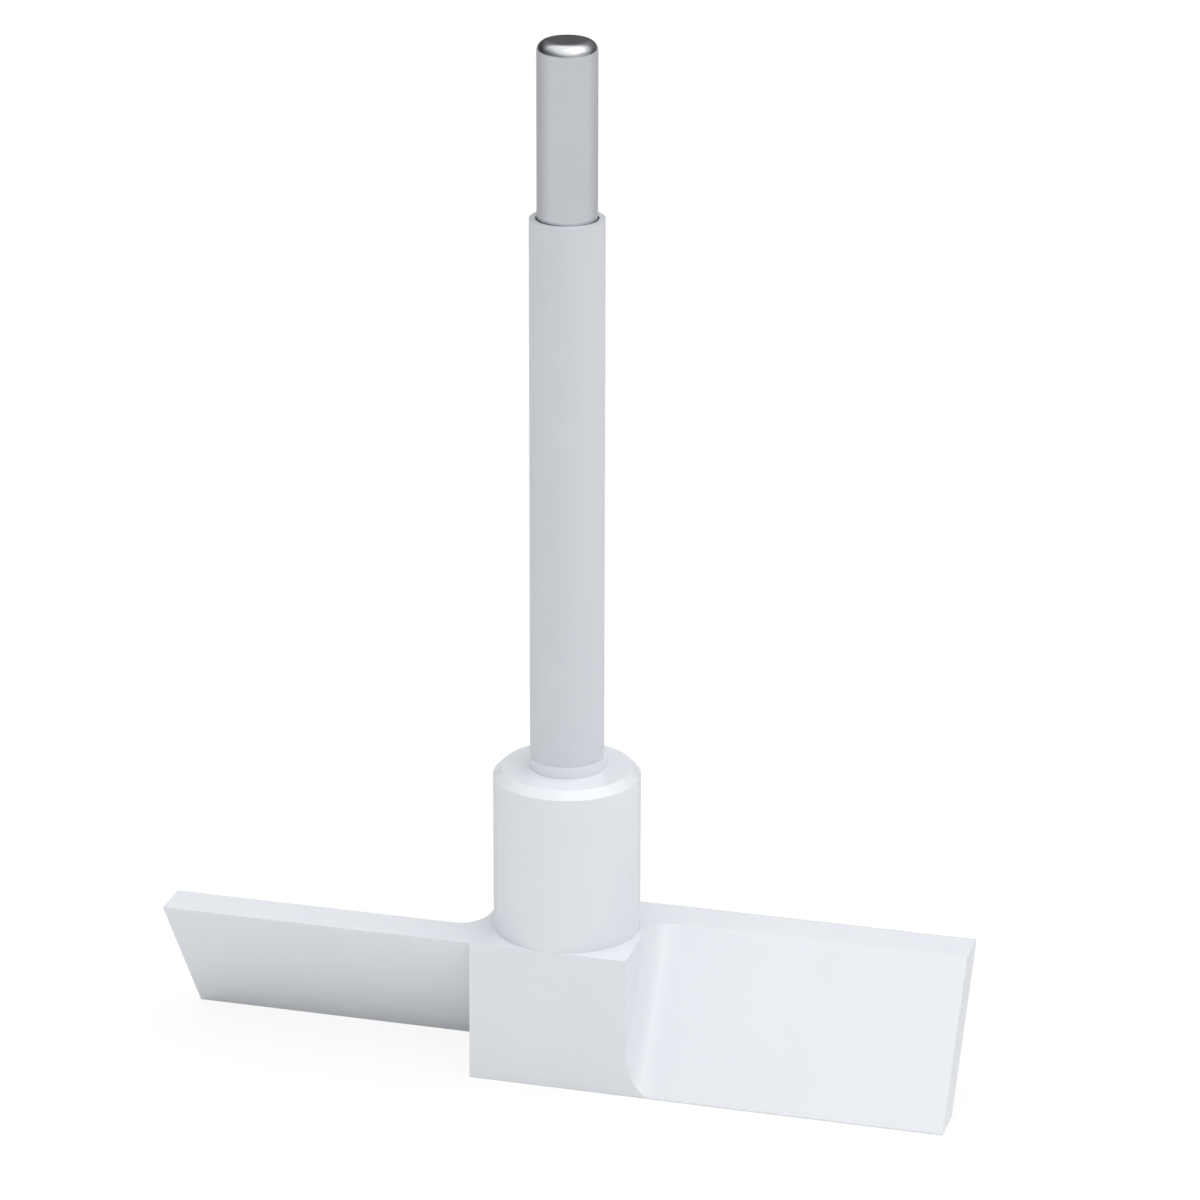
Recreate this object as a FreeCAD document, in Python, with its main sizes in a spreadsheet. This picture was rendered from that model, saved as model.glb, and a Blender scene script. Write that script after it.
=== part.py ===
# Stirrer shaft for an overhead laboratory stirrer, with a two-bladed PTFE head.
#
# A solid steel core carries everything. A PTFE sleeve covers it from the head up to a
# bare end, which is turned down a little to go into the stirrer's chuck. The head is one
# machined piece of PTFE: two pitched blades on a square block, a round hub and a low
# collar flush with the sleeve, with a blind bore for the core.
#
# Frame: millimetres, +Z up along the shaft, origin under the shaft in the middle of the
# foot. The blades lie along X.

import FreeCAD, Part
import math
import os
import Sketcher
from FreeCAD import Placement, Rotation, Vector

# Driving dimensions: name, size in millimetres, what it measures
SIZES = (
    ("overall_length", 143.7, "foot to tip of the shaft"),
    ("bare_length", 23.7, "uncovered steel at the top, for the chuck"),
    ("bare_diameter", 8.0, "bare end, a common chuck size"),
    ("core_diameter", 8.4, "steel core in the sleeve and in the head"),
    ("core_edge_radius", 1.5, "rounded edge at the tip of the core"),
    ("core_end_chamfer", 0.5, "broken edge at the hidden end of the core"),
    ("sleeve_wall", 0.8, "wall of the PTFE sleeve"),
    ("stirring_diameter", 110.0, "blade tip to blade tip"),
    ("blade_thickness", 5.0, "square to the blade's faces"),
    ("root_radius", 4.0, "fillet where a blade's upper face meets the block"),
    ("block_width", 22.0, "along the blades"),
    ("block_depth", 20.0, "across the blades"),
    ("block_height", 20.0, "also the height of the blades"),
    ("hub_diameter", 20.0, "round hub above the block"),
    ("hub_height", 23.3, "from the top of the block"),
    ("hub_bevel", 1.1, "bevel round the top of the hub"),
    ("collar_height", 1.7, "low collar on the hub, which the sleeve stands on"),
    ("bore_floor", 8.0, "height at which the full width of the bore ends"),
    ("core_end_clearance", 0.5, "between the core's end and the end of the full bore"),
)

# Heights, angles and a radius that follow from the driving dimensions
HUB_TOP = "(Sizes.block_height + Sizes.hub_height)"
HEAD_TOP = f"({HUB_TOP} + Sizes.collar_height)"
SLEEVE_TOP = "(Sizes.overall_length - Sizes.bare_length)"
CORE_FOOT = "(Sizes.bore_floor + Sizes.core_end_clearance)"
SLEEVE_RADIUS = "(Sizes.core_diameter / 2 + Sizes.sleeve_wall)"

# A blade runs from corner to corner of the block's section, so its pitch, measured from
# the vertical, follows from its thickness.
BLADE_PITCH = (
    "(acos(Sizes.blade_thickness / sqrt(Sizes.block_depth ^ 2 + Sizes.block_height ^ 2))"
    " - atan(Sizes.block_height / Sizes.block_depth))"
)

# The milling cuts run past the blank on every side
OVERCUT = "5"
CUT_END = f"(Sizes.stirring_diameter / 2 + {OVERCUT})"
CUT_REACH = "(Sizes.block_depth + Sizes.block_height)"

# Point of a common twist drill: 59 degrees from the axis to its cone
DRILL_TIP = "(Sizes.bore_floor - Sizes.core_diameter / 2 / tan(59 deg))"

# A place on the shaft's axis, or on the level line through a sketch's origin
ON_AXIS = "0"


def write_sheet(doc):
    """Put the driving dimensions in a sheet, one named cell each."""
    sheet = doc.addObject("Spreadsheet::Sheet", "Sizes")
    for row, (name, size, meaning) in enumerate(SIZES, start=1):
        sheet.set(f"A{row}", name)
        sheet.set(f"B{row}", str(size))
        sheet.setAlias(f"B{row}", name)
        sheet.set(f"C{row}", meaning)
    doc.recompute()


def add_body(doc, label):
    """An empty body with the sub-part's name."""
    body = doc.addObject("PartDesign::Body", label)
    body.Label = label
    body.Placement = Placement()
    return body


def origin_feature(body, role):
    """The body's own plane or axis with that role."""
    return next(item for item in body.Origin.OriginFeatures if item.Role == role)


def add_sketch(body, name, role):
    """A sketch on one of the body's origin planes."""
    sketch = body.newObject("Sketcher::SketchObject", name)
    sketch.AttachmentSupport = (origin_feature(body, role), [""])
    sketch.MapMode = "FlatFace"
    return sketch


def value(item, formula):
    """What a formula gives with the sizes now in the sheet."""
    return float(item.evalExpression(formula))


def set_dimension(sketch, kind, references, name, formula):
    """A named dimension that follows the sheet."""
    constraint = Sketcher.Constraint(kind, *references, value(sketch, formula))
    index = sketch.addConstraint(constraint)
    sketch.renameConstraint(index, name)
    sketch.setExpression(f"Constraints.{name}", formula)


def raise_sketch(sketch, formula):
    """Lift a sketch on the ground plane to a height."""
    sketch.AttachmentOffset = Placement(Vector(0, 0, value(sketch, formula)), Rotation())
    sketch.setExpression("AttachmentOffset.Base.z", formula)


def draw_circle(sketch, name, diameter):
    """A circle round the shaft's axis."""
    radius = value(sketch, diameter) / 2
    index = sketch.addGeometry(Part.Circle(Vector(), Vector(0, 0, 1), radius))
    sketch.addConstraint(Sketcher.Constraint("Coincident", index, 3, -1, 1))
    set_dimension(sketch, "Diameter", (index,), name, diameter)


def hold_point(sketch, line, end, direction, name, formula):
    """Hold one end of a line at its distance from the sketch's origin."""
    if formula == ON_AXIS:
        axis = -2 if direction == "DistanceX" else -1
        sketch.addConstraint(Sketcher.Constraint("PointOnObject", line, end, axis))
    else:
        set_dimension(sketch, direction, (-1, 1, line, end), name, formula)


def draw_outline(sketch, corners, closed=True):
    """Straight lines from corner to corner, each corner two formulas, across and up.

    A line whose ends share a formula is held upright or level, and each formula then
    needs one dimension only.
    """
    ends = corners[1:] + corners[:1] if closed else corners[1:]
    lines = []
    for start, end in zip(corners, ends):
        points = [Vector(value(sketch, across), value(sketch, up), 0) for across, up in (start, end)]
        lines.append(sketch.addGeometry(Part.LineSegment(*points)))
    followers = lines[1:] + lines[:1] if closed else lines[1:]
    for line, follower in zip(lines, followers):
        sketch.addConstraint(Sketcher.Constraint("Coincident", line, 2, follower, 1))
    for line, start, end in zip(lines, corners, ends):
        if start[0] == end[0]:
            sketch.addConstraint(Sketcher.Constraint("Vertical", line))
        elif start[1] == end[1]:
            sketch.addConstraint(Sketcher.Constraint("Horizontal", line))
    held = set()
    for line, start, end in zip(lines, corners, ends):
        for side, corner in ((1, start), (2, end)):
            for direction, formula in zip(("DistanceX", "DistanceY"), corner):
                if (direction, formula) not in held:
                    held.add((direction, formula))
                    name = f"{direction}_{len(held)}"
                    hold_point(sketch, line, side, direction, name, formula)
    return lines


def round_edges(shape, height):
    """Names of the shape's circular edges at that height, smallest first."""
    found = []
    for index, edge in enumerate(shape.Edges, start=1):
        if isinstance(edge.Curve, Part.Circle) and abs(edge.Curve.Center.z - height) < 0.01:
            found.append((edge.Curve.Radius, f"Edge{index}"))
    return [name for radius, name in sorted(found)]


def dress_edge(body, kind, name, base, edge, size_property, formula):
    """A fillet or chamfer on one edge of a feature."""
    feature = body.newObject(kind, name)
    feature.Base = (base, [edge])
    setattr(feature, size_property, value(feature, formula))
    feature.setExpression(size_property, formula)
    return feature


def add_bar(body, name, diameters, foot, length):
    """A round bar that starts at a height, or a tube where there are two diameters."""
    section = add_sketch(body, f"{name}Section", "XY_Plane")
    for index, diameter in enumerate(diameters, start=1):
        draw_circle(section, f"diameter_{index}", diameter)
    raise_sketch(section, foot)
    bar = body.newObject("PartDesign::Pad", name)
    bar.Profile = section
    bar.setExpression("Length", length)
    return bar


def make_core(doc):
    """Steel core: a ground bar, its lower end hidden in the head.

    The bare end is turned down from the bar and rounded at its tip. The small shoulder
    this leaves is level with the top of the sleeve.
    """
    body = add_body(doc, "steel_core")
    add_bar(body, "CoreBar", ["Sizes.core_diameter"], CORE_FOOT, f"{SLEEVE_TOP} - {CORE_FOOT}")
    doc.recompute()
    bare = add_bar(body, "BareEnd", ["Sizes.bare_diameter"], SLEEVE_TOP, "Sizes.bare_length")
    doc.recompute()
    tip_edge = round_edges(bare.Shape, bare.Shape.BoundBox.ZMax)[0]
    tip = dress_edge(body, "PartDesign::Fillet", "CoreTip", bare, tip_edge,
                     "Radius", "Sizes.core_edge_radius")
    doc.recompute()
    foot_edge = round_edges(tip.Shape, tip.Shape.BoundBox.ZMin)[0]
    dress_edge(body, "PartDesign::Chamfer", "CoreFoot", tip, foot_edge,
               "Size", "Sizes.core_end_chamfer")


def make_sleeve(doc):
    """PTFE sleeve: a tube that stands on the head's collar and is cut square at the top."""
    body = add_body(doc, "ptfe_sleeve")
    diameters = ["Sizes.core_diameter", f"2 * {SLEEVE_RADIUS}"]
    add_bar(body, "SleeveTube", diameters, HEAD_TOP, f"{SLEEVE_TOP} - {HEAD_TOP}")


def add_blank(body):
    """The rectangular bar that the blades and the block are milled from."""
    sketch = add_sketch(body, "BlankOutline", "XY_Plane")
    left, right = "-Sizes.stirring_diameter / 2", "Sizes.stirring_diameter / 2"
    front, rear = "-Sizes.block_depth / 2", "Sizes.block_depth / 2"
    draw_outline(sketch, [(left, front), (right, front), (right, rear), (left, rear)])
    blank = body.newObject("PartDesign::Pad", "Blank")
    blank.Profile = sketch
    blank.setExpression("Length", "Sizes.block_height")


def tilt_sketch(sketch):
    """Turn a sketch square to the blade's slope, its X axis along the blade's foot.

    Below that axis is the space over the blade's upper face, above it the blade.
    """
    foot_edge = "-Sizes.block_depth / 2"
    turn = Rotation(Vector(-1, 0, 0), value(sketch, BLADE_PITCH))
    sketch.AttachmentOffset = Placement(Vector(0, value(sketch, foot_edge), 0), turn)
    sketch.setExpression("AttachmentOffset.Base.y", foot_edge)
    sketch.setExpression("AttachmentOffset.Rotation.Angle", BLADE_PITCH)


def add_cut(body, name, sketch):
    """A milling cut along the blade's slope, right through the blank."""
    cut = body.newObject("PartDesign::Pocket", name)
    cut.Profile = sketch
    cut.Type = "Length"
    cut.SideType = "Symmetric"
    cut.setExpression("Length", f"4 * {CUT_REACH}")
    return cut


def add_upper_cut(body):
    """Clears the upper face of one blade, with a round corner at the block."""
    sketch = add_sketch(body, "UpperCutOutline", "XY_Plane")
    tilt_sketch(sketch)
    block_side = "Sizes.block_width / 2"
    root_end = "Sizes.block_width / 2 + Sizes.root_radius"
    root_start = "-Sizes.root_radius"
    far = f"-{CUT_REACH}"
    corners = [(root_end, ON_AXIS), (CUT_END, ON_AXIS), (CUT_END, far), (block_side, far),
               (block_side, root_start)]
    lines = draw_outline(sketch, corners, closed=False)
    middle = Vector(value(sketch, root_end), value(sketch, root_start), 0)
    circle = Part.Circle(middle, Vector(0, 0, 1), value(sketch, "Sizes.root_radius"))
    root = sketch.addGeometry(Part.ArcOfCircle(circle, math.pi / 2, math.pi))
    sketch.addConstraint(Sketcher.Constraint("Coincident", root, 1, lines[0], 1))
    sketch.addConstraint(Sketcher.Constraint("Tangent", lines[-1], 2, root, 2))
    return add_cut(body, "UpperCut", sketch)


def add_lower_cut(body):
    """Clears the lower face of one blade, with a sharp corner at the block."""
    sketch = add_sketch(body, "LowerCutOutline", "XY_Plane")
    tilt_sketch(sketch)
    block_side = "Sizes.block_width / 2"
    face = "Sizes.blade_thickness"
    corners = [(block_side, face), (CUT_END, face), (CUT_END, CUT_REACH), (block_side, CUT_REACH)]
    draw_outline(sketch, corners)
    return add_cut(body, "LowerCut", sketch)


def add_second_blade(body, cuts):
    """The same cuts half a turn on, so the blades are pitched opposite ways."""
    pattern = body.newObject("PartDesign::PolarPattern", "BladePair")
    pattern.Originals = cuts
    pattern.Axis = (origin_feature(body, "Z_Axis"), [""])
    pattern.Angle = 360
    pattern.Occurrences = 2
    body.Tip = pattern


def add_hub(body):
    """Hub and collar, turned in one profile above the block, the collar flush with the sleeve."""
    sketch = add_sketch(body, "HubProfile", "XZ_Plane")
    hub_side = "Sizes.hub_diameter / 2"
    corners = [
        (ON_AXIS, "Sizes.block_height"),
        (hub_side, "Sizes.block_height"),
        (hub_side, f"{HUB_TOP} - Sizes.hub_bevel"),
        ("Sizes.hub_diameter / 2 - Sizes.hub_bevel", HUB_TOP),
        (SLEEVE_RADIUS, HUB_TOP),
        (SLEEVE_RADIUS, HEAD_TOP),
        (ON_AXIS, HEAD_TOP),
    ]
    draw_outline(sketch, corners)
    hub = body.newObject("PartDesign::Revolution", "Hub")
    hub.Profile = sketch
    hub.ReferenceAxis = (sketch, ["V_Axis"])
    hub.Angle = 360


def add_bore(body):
    """Blind bore for the core, drilled from the collar, with the drill's point below."""
    sketch = add_sketch(body, "BoreProfile", "XZ_Plane")
    bore_side = "Sizes.core_diameter / 2"
    corners = [(ON_AXIS, HEAD_TOP), (ON_AXIS, DRILL_TIP), (bore_side, "Sizes.bore_floor"),
               (bore_side, HEAD_TOP)]
    draw_outline(sketch, corners)
    bore = body.newObject("PartDesign::Groove", "Bore")
    bore.Profile = sketch
    bore.ReferenceAxis = (sketch, ["V_Axis"])
    bore.Angle = 360


def make_head(doc):
    """Stirrer head: one piece of PTFE, milled, turned and bored."""
    body = add_body(doc, "stirrer_head")
    add_blank(body)
    cuts = [add_upper_cut(body), add_lower_cut(body)]
    doc.recompute()
    add_second_blade(body, cuts)
    doc.recompute()
    add_hub(body)
    doc.recompute()
    solid_volume = body.Shape.Volume
    add_bore(body)
    doc.recompute()
    if body.Shape.Volume >= solid_volume:
        raise RuntimeError("the bore removed nothing from the head")


def check(doc):
    """Stop if any feature failed or any sub-part is not a sound solid."""
    for item in doc.Objects:
        if "Invalid" in item.State or "Error" in item.State:
            raise RuntimeError(f"{item.Label} failed: {item.State}")
    for body in doc.findObjects("PartDesign::Body"):
        shape = body.Shape
        if shape.isNull() or not shape.isValid() or len(shape.Solids) != 1:
            raise RuntimeError(f"{body.Label} is not one sound solid")


def export(doc):
    """Write each sub-part to a file with its name."""
    os.makedirs("parts", exist_ok=True)
    for body in doc.findObjects("PartDesign::Body"):
        body.Shape.exportStep(f"parts/{body.Label}.step")


doc = FreeCAD.newDocument("StirrerShaft")
write_sheet(doc)
make_core(doc)
make_sleeve(doc)
make_head(doc)
doc.recompute()
check(doc)
export(doc)
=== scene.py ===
# Looks of a PTFE-covered stirrer shaft: the finish of its three pieces, in the order in
# which they are put together, then the floor, the light and the camera.

import math

import bpy
from mathutils import Matrix, Vector

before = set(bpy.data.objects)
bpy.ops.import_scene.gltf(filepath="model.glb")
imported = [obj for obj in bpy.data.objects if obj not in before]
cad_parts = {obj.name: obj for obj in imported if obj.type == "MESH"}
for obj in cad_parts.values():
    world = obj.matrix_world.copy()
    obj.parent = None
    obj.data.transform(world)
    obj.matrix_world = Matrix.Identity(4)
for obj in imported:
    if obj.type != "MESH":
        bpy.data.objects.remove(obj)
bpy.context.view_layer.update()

# The steel core
#
# A bar of stainless steel, centreless ground, polished and faced off at the tip. It carries
# the sleeve and the head, and its bare end goes into the stirrer's chuck.

MM = 0.001


def linear(colour):
    """An sRGB hex colour as linear red, green, blue and alpha."""
    shares = [int(colour[place:place + 2], 16) / 255 for place in (1, 3, 5)]
    curve = [s / 12.92 if s <= 0.04045 else ((s + 0.055) / 1.055) ** 2.4 for s in shares]
    return (*curve, 1.0)


def add_node(tree, kind, settings=None, inputs=None):
    """A shader node with its settings, and each input set to a value or linked to a socket."""
    node = tree.nodes.new(kind)
    for name, setting in (settings or {}).items():
        setattr(node, name, setting)
    for name, given in (inputs or {}).items():
        if isinstance(given, bpy.types.NodeSocket):
            tree.links.new(given, node.inputs[name])
        else:
            node.inputs[name].default_value = given
    return node


def new_material(name):
    """An empty node material."""
    material = bpy.data.materials.new(name)
    material.use_nodes = True
    material.node_tree.nodes.clear()
    return material


def streaks(tree, place, spacing, detail, roughness):
    """A drawn-out noise, its grain as far apart along each axis as the spacing says."""
    steps = tuple(1 / step for step in spacing)
    stretch = add_node(tree, "ShaderNodeVectorMath", {"operation": "MULTIPLY"},
                       {0: place, 1: steps})
    noise = add_node(tree, "ShaderNodeTexNoise", inputs={
        "Vector": stretch.outputs[0], "Scale": 1.0, "Detail": detail, "Roughness": roughness})
    return noise.outputs["Fac"]


def ring_place(tree, parts, lead):
    """A place whose height also grows outwards, so rings on it show on flat ends too."""
    flat = add_node(tree, "ShaderNodeCombineXYZ",
                    inputs={0: parts.outputs[0], 1: parts.outputs[1]})
    radius = add_node(tree, "ShaderNodeVectorMath", {"operation": "LENGTH"}, {0: flat.outputs[0]})
    path = add_node(tree, "ShaderNodeMath", {"operation": "MULTIPLY_ADD"},
                    {0: radius.outputs["Value"], 1: lead, 2: parts.outputs[2]})
    ringed = add_node(tree, "ShaderNodeCombineXYZ", inputs={
        0: parts.outputs[0], 1: parts.outputs[1], 2: path.outputs[0]})
    return ringed.outputs[0]


def finish_node(name, material):
    """Give a piece of the frame its material."""
    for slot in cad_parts[name].material_slots:
        slot.material = material


# Grinding leaves fine rings, and polishing leaves them only as a soft break in the gloss.
# Real ones are a few hundredths of a millimetre apart. They are drawn coarser, because
# those would be too fine to show.
steel_colour = "#C3C5CA"
ring_spacing = 0.22 * MM
ring_drift = 9 * MM
ring_depth = 0.002 * MM
ring_lead = 1.0
smear_size = 5 * MM
steel_roughness = (0.17, 0.27)

steel = new_material("stainless_steel_ground_and_polished")
tree = steel.node_tree
place = add_node(tree, "ShaderNodeTexCoord").outputs["Object"]
parts = add_node(tree, "ShaderNodeSeparateXYZ", inputs={0: place})
ringed = ring_place(tree, parts, ring_lead)
rings = streaks(
    tree, ringed, (ring_drift, ring_drift, ring_spacing), detail=3.0, roughness=0.6)
smears = add_node(tree, "ShaderNodeTexNoise", inputs={
    "Vector": place, "Scale": 1 / smear_size, "Detail": 2.0})
both = add_node(tree, "ShaderNodeMath", {"operation": "MULTIPLY"},
                {0: rings, 1: smears.outputs["Fac"]})
gloss = add_node(tree, "ShaderNodeMapRange", inputs={
    "Value": both.outputs[0], "From Min": 0.12, "From Max": 0.42,
    "To Min": steel_roughness[0], "To Max": steel_roughness[1]})
relief = add_node(tree, "ShaderNodeBump", inputs={
    "Height": rings, "Strength": 0.25, "Distance": ring_depth})
surface = add_node(tree, "ShaderNodeBsdfPrincipled", inputs={
    "Base Color": linear(steel_colour), "Metallic": 1.0, "Roughness": gloss.outputs[0],
    "Anisotropic": 0.3, "Normal": relief.outputs[0]})
add_node(tree, "ShaderNodeOutputMaterial", inputs={"Surface": surface.outputs[0]})
finish_node("steel_core", steel)

# The PTFE sleeve
#
# An extruded PTFE tube of 0.8 mm wall, shrunk tight on the core from the head's collar up
# to the bare end and cut off square. PTFE is waxy and lets a little light through, so the
# steel behind it makes the sleeve greyer than the head.

# The die draws fine lines along the tube, which make its gloss satin. They are drawn wider
# apart than the real ones, so that they show. The index of refraction of PTFE is 1.35, and
# it is set higher here to match the shine of the smooth tube at a low angle.
sleeve_colour = "#D5D7DC"
sleeve_shade = "#D0D3D8"
die_line_spacing = 0.35 * MM
die_line_length = 55 * MM
die_line_depth = 0.0012 * MM
sleeve_haze_size = 14 * MM
sleeve_light_reach = 0.8 * MM
sleeve_roughness = (0.28, 0.32)
sleeve_ior = 1.5

sleeve = new_material("ptfe_extruded_tube")
tree = sleeve.node_tree
place = add_node(tree, "ShaderNodeTexCoord").outputs["Object"]
die_lines = streaks(
    tree, place, (die_line_spacing, die_line_spacing, die_line_length),
    detail=2.0, roughness=0.5)
haze = add_node(tree, "ShaderNodeTexNoise", inputs={
    "Vector": place, "Scale": 1 / sleeve_haze_size, "Detail": 3.0})
tint = add_node(tree, "ShaderNodeMix", {"data_type": "RGBA"}, {
    0: haze.outputs["Fac"], 6: linear(sleeve_colour), 7: linear(sleeve_shade)})
gloss = add_node(tree, "ShaderNodeMapRange", inputs={
    "Value": die_lines, "From Min": 0.3, "From Max": 0.7,
    "To Min": sleeve_roughness[0], "To Max": sleeve_roughness[1]})
relief = add_node(tree, "ShaderNodeBump", inputs={
    "Height": die_lines, "Strength": 0.2, "Distance": die_line_depth})
surface = add_node(tree, "ShaderNodeBsdfPrincipled", inputs={
    "Base Color": tint.outputs[2], "Roughness": gloss.outputs[0], "IOR": sleeve_ior,
    "Subsurface Weight": 0.1, "Subsurface Radius": (1.0, 1.0, 1.0),
    "Subsurface Scale": sleeve_light_reach, "Normal": relief.outputs[0]})
add_node(tree, "ShaderNodeOutputMaterial", inputs={"Surface": surface.outputs[0]})
finish_node("ptfe_sleeve", sleeve)

# The stirrer head
#
# One piece of PTFE, machined from bar: the block and its two pitched blades are milled, the
# hub and the collar above them are turned, and every edge is broken by a touch of a scraper.

# The cutter leaves faint lines along the blades and the lathe faint rings round the hub, on
# a white that is slightly cool. Sharp tools leave the PTFE smoother than the die does, so
# the head shines more than the sleeve.
head_colour = "#E6E9ED"
head_shade = "#E2E5EA"
mill_line_spacing = 0.4 * MM
mill_line_length = 30 * MM
lathe_line_spacing = 0.3 * MM
lathe_line_length = 25 * MM
tool_line_depth = 0.0015 * MM
lathe_lead = 0.8
mill_slant = 0.7
broken_edge = 0.15 * MM
head_haze_size = 11 * MM
head_light_reach = 1.2 * MM
head_roughness = (0.17, 0.21)
head_ior = 1.5
head_shine = 0.8
block_height = 20 * MM
turned_from = block_height + 0.02 * MM

head = new_material("ptfe_milled_and_turned")
tree = head.node_tree
place = add_node(tree, "ShaderNodeTexCoord").outputs["Object"]
parts = add_node(tree, "ShaderNodeSeparateXYZ", inputs={0: place})
ringed = ring_place(tree, parts, lathe_lead)
lathe_lines = streaks(
    tree, ringed, (lathe_line_length, lathe_line_length, lathe_line_spacing),
    detail=2.0, roughness=0.5)
mill_path = add_node(tree, "ShaderNodeMath", {"operation": "MULTIPLY_ADD"},
                     {0: parts.outputs[1], 1: mill_slant, 2: parts.outputs[2]})
mill_place = add_node(tree, "ShaderNodeCombineXYZ", inputs={
    0: parts.outputs[0], 1: parts.outputs[1], 2: mill_path.outputs[0]})
mill_lines = streaks(
    tree, mill_place.outputs[0], (mill_line_length, mill_line_length, mill_line_spacing),
    detail=2.0, roughness=0.5)
above_block = add_node(tree, "ShaderNodeMath", {"operation": "GREATER_THAN"},
                       {0: parts.outputs[2], 1: turned_from})
lines = add_node(tree, "ShaderNodeMix", {"data_type": "FLOAT"},
                 {0: above_block.outputs[0], 2: mill_lines, 3: lathe_lines})
haze = add_node(tree, "ShaderNodeTexNoise", inputs={
    "Vector": place, "Scale": 1 / head_haze_size, "Detail": 3.0})
tint = add_node(tree, "ShaderNodeMix", {"data_type": "RGBA"}, {
    0: haze.outputs["Fac"], 6: linear(head_colour), 7: linear(head_shade)})
gloss = add_node(tree, "ShaderNodeMapRange", inputs={
    "Value": lines.outputs[0], "From Min": 0.3, "From Max": 0.7,
    "To Min": head_roughness[0], "To Max": head_roughness[1]})
soft_edge = add_node(tree, "ShaderNodeBevel", {"samples": 6}, {"Radius": broken_edge})
relief = add_node(tree, "ShaderNodeBump", inputs={
    "Height": lines.outputs[0], "Strength": 0.4, "Distance": tool_line_depth,
    "Normal": soft_edge.outputs[0]})
surface = add_node(tree, "ShaderNodeBsdfPrincipled", inputs={
    "Base Color": tint.outputs[2], "Roughness": gloss.outputs[0], "IOR": head_ior,
    "Specular IOR Level": head_shine,
    "Subsurface Weight": 0.12, "Subsurface Radius": (1.0, 1.0, 1.0),
    "Subsurface Scale": head_light_reach, "Normal": relief.outputs[0]})
add_node(tree, "ShaderNodeOutputMaterial", inputs={"Surface": surface.outputs[0]})
finish_node("stirrer_head", head)

# The floor
#
# A wide sheet of pale matt paper. The camera sees it white with a faint shadow, and it
# lights the object as a pale grey does. Only in reflections is it painted darker: darker
# behind the stirrer, and darker again round a spot beyond the end of the right blade.

floor_half = 3.0
floor_colour = "#E9E9E9"
floor_glow = 0.885
shadow_share = 0.13
# Painted darkness behind the stirrer, seen only in reflections of the floor.
rearward = (-0.42, 0.91, 0.0)
rear_share = 0.4
fade_start = -0.5
fade_end = 1.6
# A painted dark patch round a spot beyond the right blade's end, seen only in reflections, that
# shades that end face. No card lies there.
painted_dark_spot_middle = (62 * MM, 22 * MM, 0.0)
painted_dark_spot_inside = 15 * MM
painted_dark_spot_outside = 45 * MM
painted_dark_spot_share = 0.75

bpy.ops.mesh.primitive_plane_add(size=2 * floor_half)
floor = bpy.context.object
floor.name = "studio_floor"
paper = new_material("pale_matt_paper")
tree = paper.node_tree
matt = add_node(tree, "ShaderNodeBsdfDiffuse", inputs={"Color": linear(floor_colour)})
spot = add_node(tree, "ShaderNodeTexCoord").outputs["Object"]
bearing = add_node(tree, "ShaderNodeVectorMath", {"operation": "NORMALIZE"}, {0: spot})
behind = add_node(tree, "ShaderNodeVectorMath", {"operation": "DOT_PRODUCT"},
                  {0: bearing.outputs[0], 1: rearward})
# The floor's glow as reflections see it, painted darker behind the stirrer.
round_about = add_node(tree, "ShaderNodeMapRange", {"interpolation_type": "SMOOTHSTEP"}, {
    "Value": behind.outputs["Value"], "From Min": fade_start, "From Max": fade_end,
    "To Min": floor_glow, "To Max": rear_share * floor_glow})
apart = add_node(tree, "ShaderNodeVectorMath", {"operation": "DISTANCE"},
                 {0: spot, 1: painted_dark_spot_middle})
# The painted dark patch, in reflections only.
painted_dark_spot = add_node(tree, "ShaderNodeMapRange", {"interpolation_type": "SMOOTHSTEP"}, {
    "Value": apart.outputs["Value"], "From Min": painted_dark_spot_inside, "From Max": painted_dark_spot_outside,
    "To Min": painted_dark_spot_share, "To Max": 1.0})
fading = add_node(tree, "ShaderNodeMath", {"operation": "MULTIPLY"},
                  {0: round_about.outputs[0], 1: painted_dark_spot.outputs[0]})
rays = add_node(tree, "ShaderNodeLightPath")
strength = add_node(tree, "ShaderNodeMix", {"data_type": "FLOAT"},
                    {0: rays.outputs["Is Glossy Ray"], 2: floor_glow, 3: fading.outputs[0]})
glow = add_node(tree, "ShaderNodeEmission", inputs={"Strength": strength.outputs[0]})
dark = add_node(tree, "ShaderNodeBsdfDiffuse", inputs={"Color": (0, 0, 0, 1)})
shaded = add_node(tree, "ShaderNodeMixShader",
                  inputs={0: shadow_share, 1: dark.outputs[0], 2: matt.outputs[0]})
seen = add_node(tree, "ShaderNodeAddShader", inputs={0: shaded.outputs[0], 1: glow.outputs[0]})
looked_at = add_node(tree, "ShaderNodeMath", {"operation": "MAXIMUM"},
                     {0: rays.outputs["Is Camera Ray"], 1: rays.outputs["Is Glossy Ray"]})
shown = add_node(tree, "ShaderNodeMath", {"operation": "MAXIMUM"},
                 {0: looked_at.outputs[0], 1: rays.outputs["Is Transmission Ray"]})
choice = add_node(tree, "ShaderNodeMixShader",
                  inputs={0: shown.outputs[0], 1: matt.outputs[0], 2: seen.outputs[0]})
add_node(tree, "ShaderNodeOutputMaterial", inputs={"Surface": choice.outputs[0]})
floor.data.materials.append(paper)

# The light
#
# A pale room, brighter overhead, with one large soft lamp high on the right. The camera
# sees the room white. In reflections it is bright above and in front, and dark low behind
# and out to the sides, as a studio with dark rear walls is.

room_colour = "#FDFEFF"
room_walls = 0.41
room_top = 1.68
forward_and_up = (0.4, -1.42, 1.0)
rear_wall = 0.37
ceiling = 1.9
wall_edge = 0.35
height_way = (0.3, 0.0, 1.0)
horizon = 0.24
horizon_low = -0.05
horizon_high = 0.7
sideways = (0.96, 0.27, 0.0)
side_drop = 0.6

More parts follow.
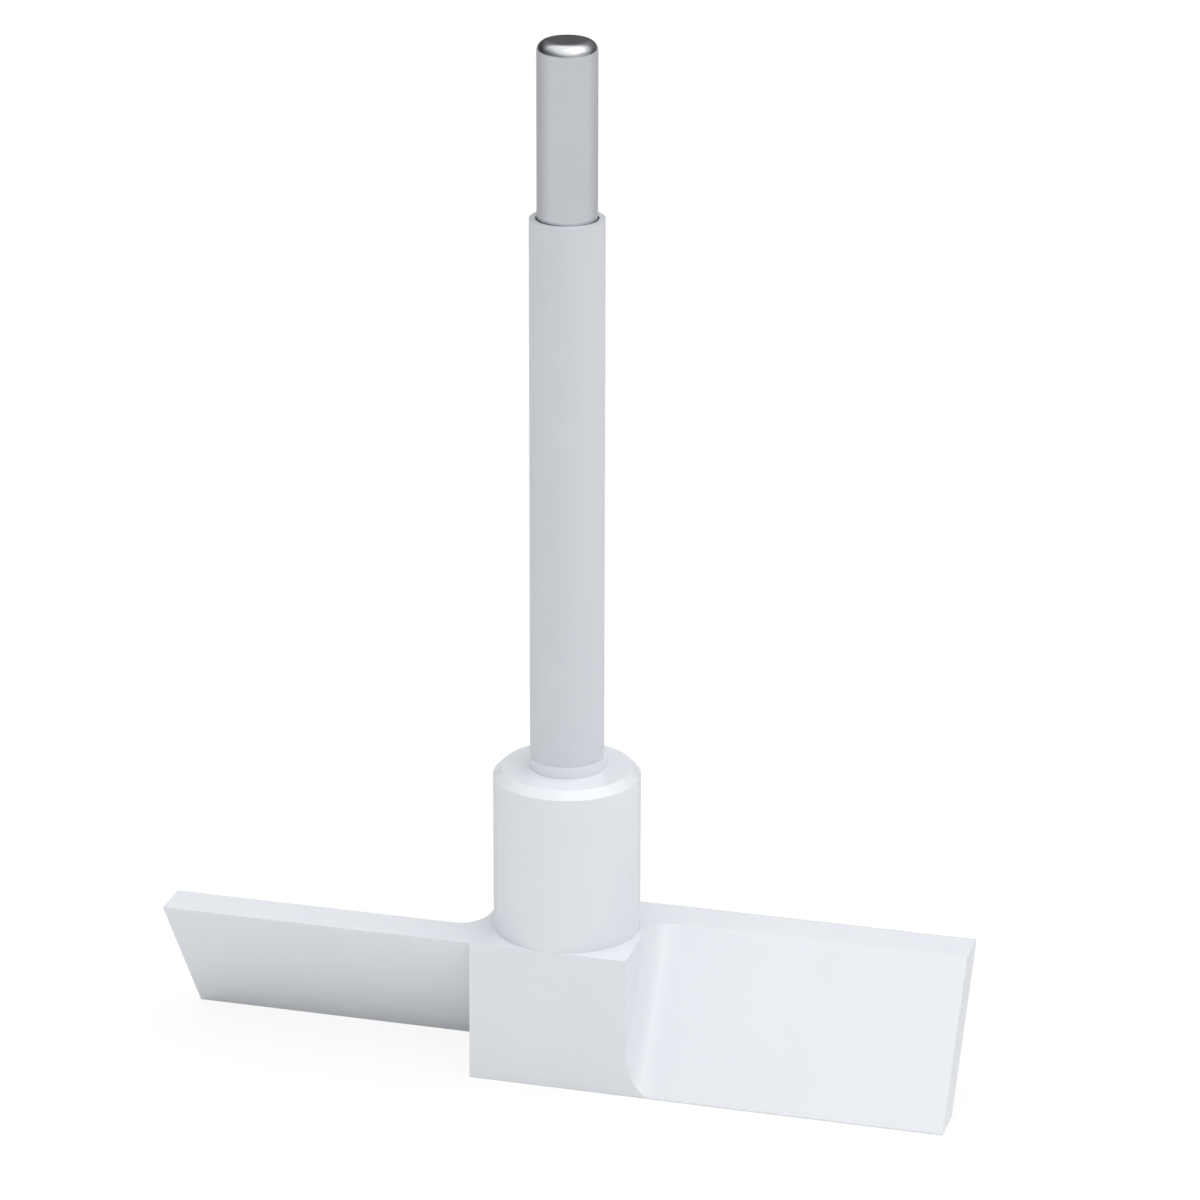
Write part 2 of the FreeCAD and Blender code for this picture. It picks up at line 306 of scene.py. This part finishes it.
scene = bpy.context.scene
scene.view_settings.view_transform = "Standard"
world = bpy.data.worlds.new("studio_room")
world.use_nodes = True
scene.world = world
tree = world.node_tree
tree.nodes.clear()
direction = add_node(tree, "ShaderNodeTexCoord").outputs["Generated"]
upward = add_node(tree, "ShaderNodeSeparateXYZ", inputs={0: direction})
overhead = add_node(tree, "ShaderNodeMath", {"operation": "MULTIPLY", "use_clamp": True},
                    {0: upward.outputs[2], 1: upward.outputs[2]})
dome = add_node(tree, "ShaderNodeMapRange", inputs={
    "Value": overhead.outputs[0], "To Min": room_walls, "To Max": room_top})
even = add_node(tree, "ShaderNodeBackground", inputs={
    "Color": linear(room_colour), "Strength": dome.outputs[0]})
facing = add_node(tree, "ShaderNodeVectorMath", {"operation": "DOT_PRODUCT"},
                  {0: direction, 1: forward_and_up})
level = add_node(tree, "ShaderNodeMapRange", {"interpolation_type": "SMOOTHSTEP"}, {
    "Value": facing.outputs["Value"], "From Min": -wall_edge, "From Max": wall_edge,
    "To Min": rear_wall, "To Max": ceiling})
height = add_node(tree, "ShaderNodeVectorMath", {"operation": "DOT_PRODUCT"},
                  {0: direction, 1: height_way})
band = add_node(tree, "ShaderNodeMapRange", {"interpolation_type": "SMOOTHSTEP"}, {
    "Value": height.outputs["Value"], "From Min": horizon_low, "From Max": horizon_high,
    "To Min": horizon, "To Max": 1.0})
across = add_node(tree, "ShaderNodeVectorMath", {"operation": "DOT_PRODUCT"},
                  {0: direction, 1: sideways})
bow = add_node(tree, "ShaderNodeMath", {"operation": "MULTIPLY"},
               {0: across.outputs["Value"], 1: across.outputs["Value"]})
narrowed = add_node(tree, "ShaderNodeMath", {"operation": "MULTIPLY_ADD"},
                    {0: bow.outputs[0], 1: -side_drop, 2: 1.0})
banded = add_node(tree, "ShaderNodeMath", {"operation": "MULTIPLY"},
                  {0: level.outputs[0], 1: band.outputs[0]})
shaped = add_node(tree, "ShaderNodeMath", {"operation": "MULTIPLY"},
                  {0: banded.outputs[0], 1: narrowed.outputs[0]})
mirrored = add_node(tree, "ShaderNodeBackground", inputs={"Strength": shaped.outputs[0]})
white = add_node(tree, "ShaderNodeBackground", inputs={"Color": (1, 1, 1, 1), "Strength": 1.0})
rays = add_node(tree, "ShaderNodeLightPath")
lit = add_node(tree, "ShaderNodeMixShader", inputs={
    0: rays.outputs["Is Glossy Ray"], 1: even.outputs[0], 2: mirrored.outputs[0]})
shown = add_node(tree, "ShaderNodeMath", {"operation": "MAXIMUM"},
                 {0: rays.outputs["Is Camera Ray"], 1: rays.outputs["Is Transmission Ray"]})
choice = add_node(tree, "ShaderNodeMixShader",
                  inputs={0: shown.outputs[0], 1: lit.outputs[0], 2: white.outputs[0]})
add_node(tree, "ShaderNodeOutputWorld", inputs={"Surface": choice.outputs[0]})

lamp_side = 1.2
lamp_distance = 1.2
lamp_watts = 4.0
lamp_azimuth = math.radians(70)
lamp_elevation = math.radians(58)
lamp_aim = Vector((0, 0, 60 * MM))

lamp_data = bpy.data.lights.new("soft_lamp", "AREA")
lamp_data.shape = "SQUARE"
lamp_data.size = lamp_side
lamp_data.energy = lamp_watts
lamp = bpy.data.objects.new("soft_lamp", lamp_data)
scene.collection.objects.link(lamp)
towards_lamp = Vector((
    math.sin(lamp_azimuth) * math.cos(lamp_elevation),
    -math.cos(lamp_azimuth) * math.cos(lamp_elevation),
    math.sin(lamp_elevation),
))
lamp.location = lamp_aim + towards_lamp * lamp_distance
lamp.rotation_euler = towards_lamp.to_track_quat("Z", "Y").to_euler()

# The camera
#
# A long lens in front, a little to the right and above, that looks down on the whole
# stirrer.

camera_azimuth = math.radians(15.464)
camera_elevation = math.radians(20.152)
camera_roll = math.radians(0.16)
camera_distance = 664.35 * MM
aim_height = 67.15 * MM
aim_right = 4.39 * MM
sensor_width = 36.0
focal_length = 149.25

camera_data = bpy.data.cameras.new("camera")
camera_data.sensor_width = sensor_width
camera_data.lens = focal_length
camera_data.clip_start = 0.01
camera_data.clip_end = 50.0
camera = bpy.data.objects.new("camera", camera_data)
scene.collection.objects.link(camera)
turn = (Matrix.Rotation(camera_azimuth, 4, "Z")
        @ Matrix.Rotation(math.pi / 2 - camera_elevation, 4, "X"))
stand = Vector((0, 0, aim_height)) + turn.to_3x3() @ Vector((aim_right, 0, camera_distance))
camera.matrix_world = Matrix.Translation(stand) @ turn @ Matrix.Rotation(camera_roll, 4, "Z")
scene.camera = camera
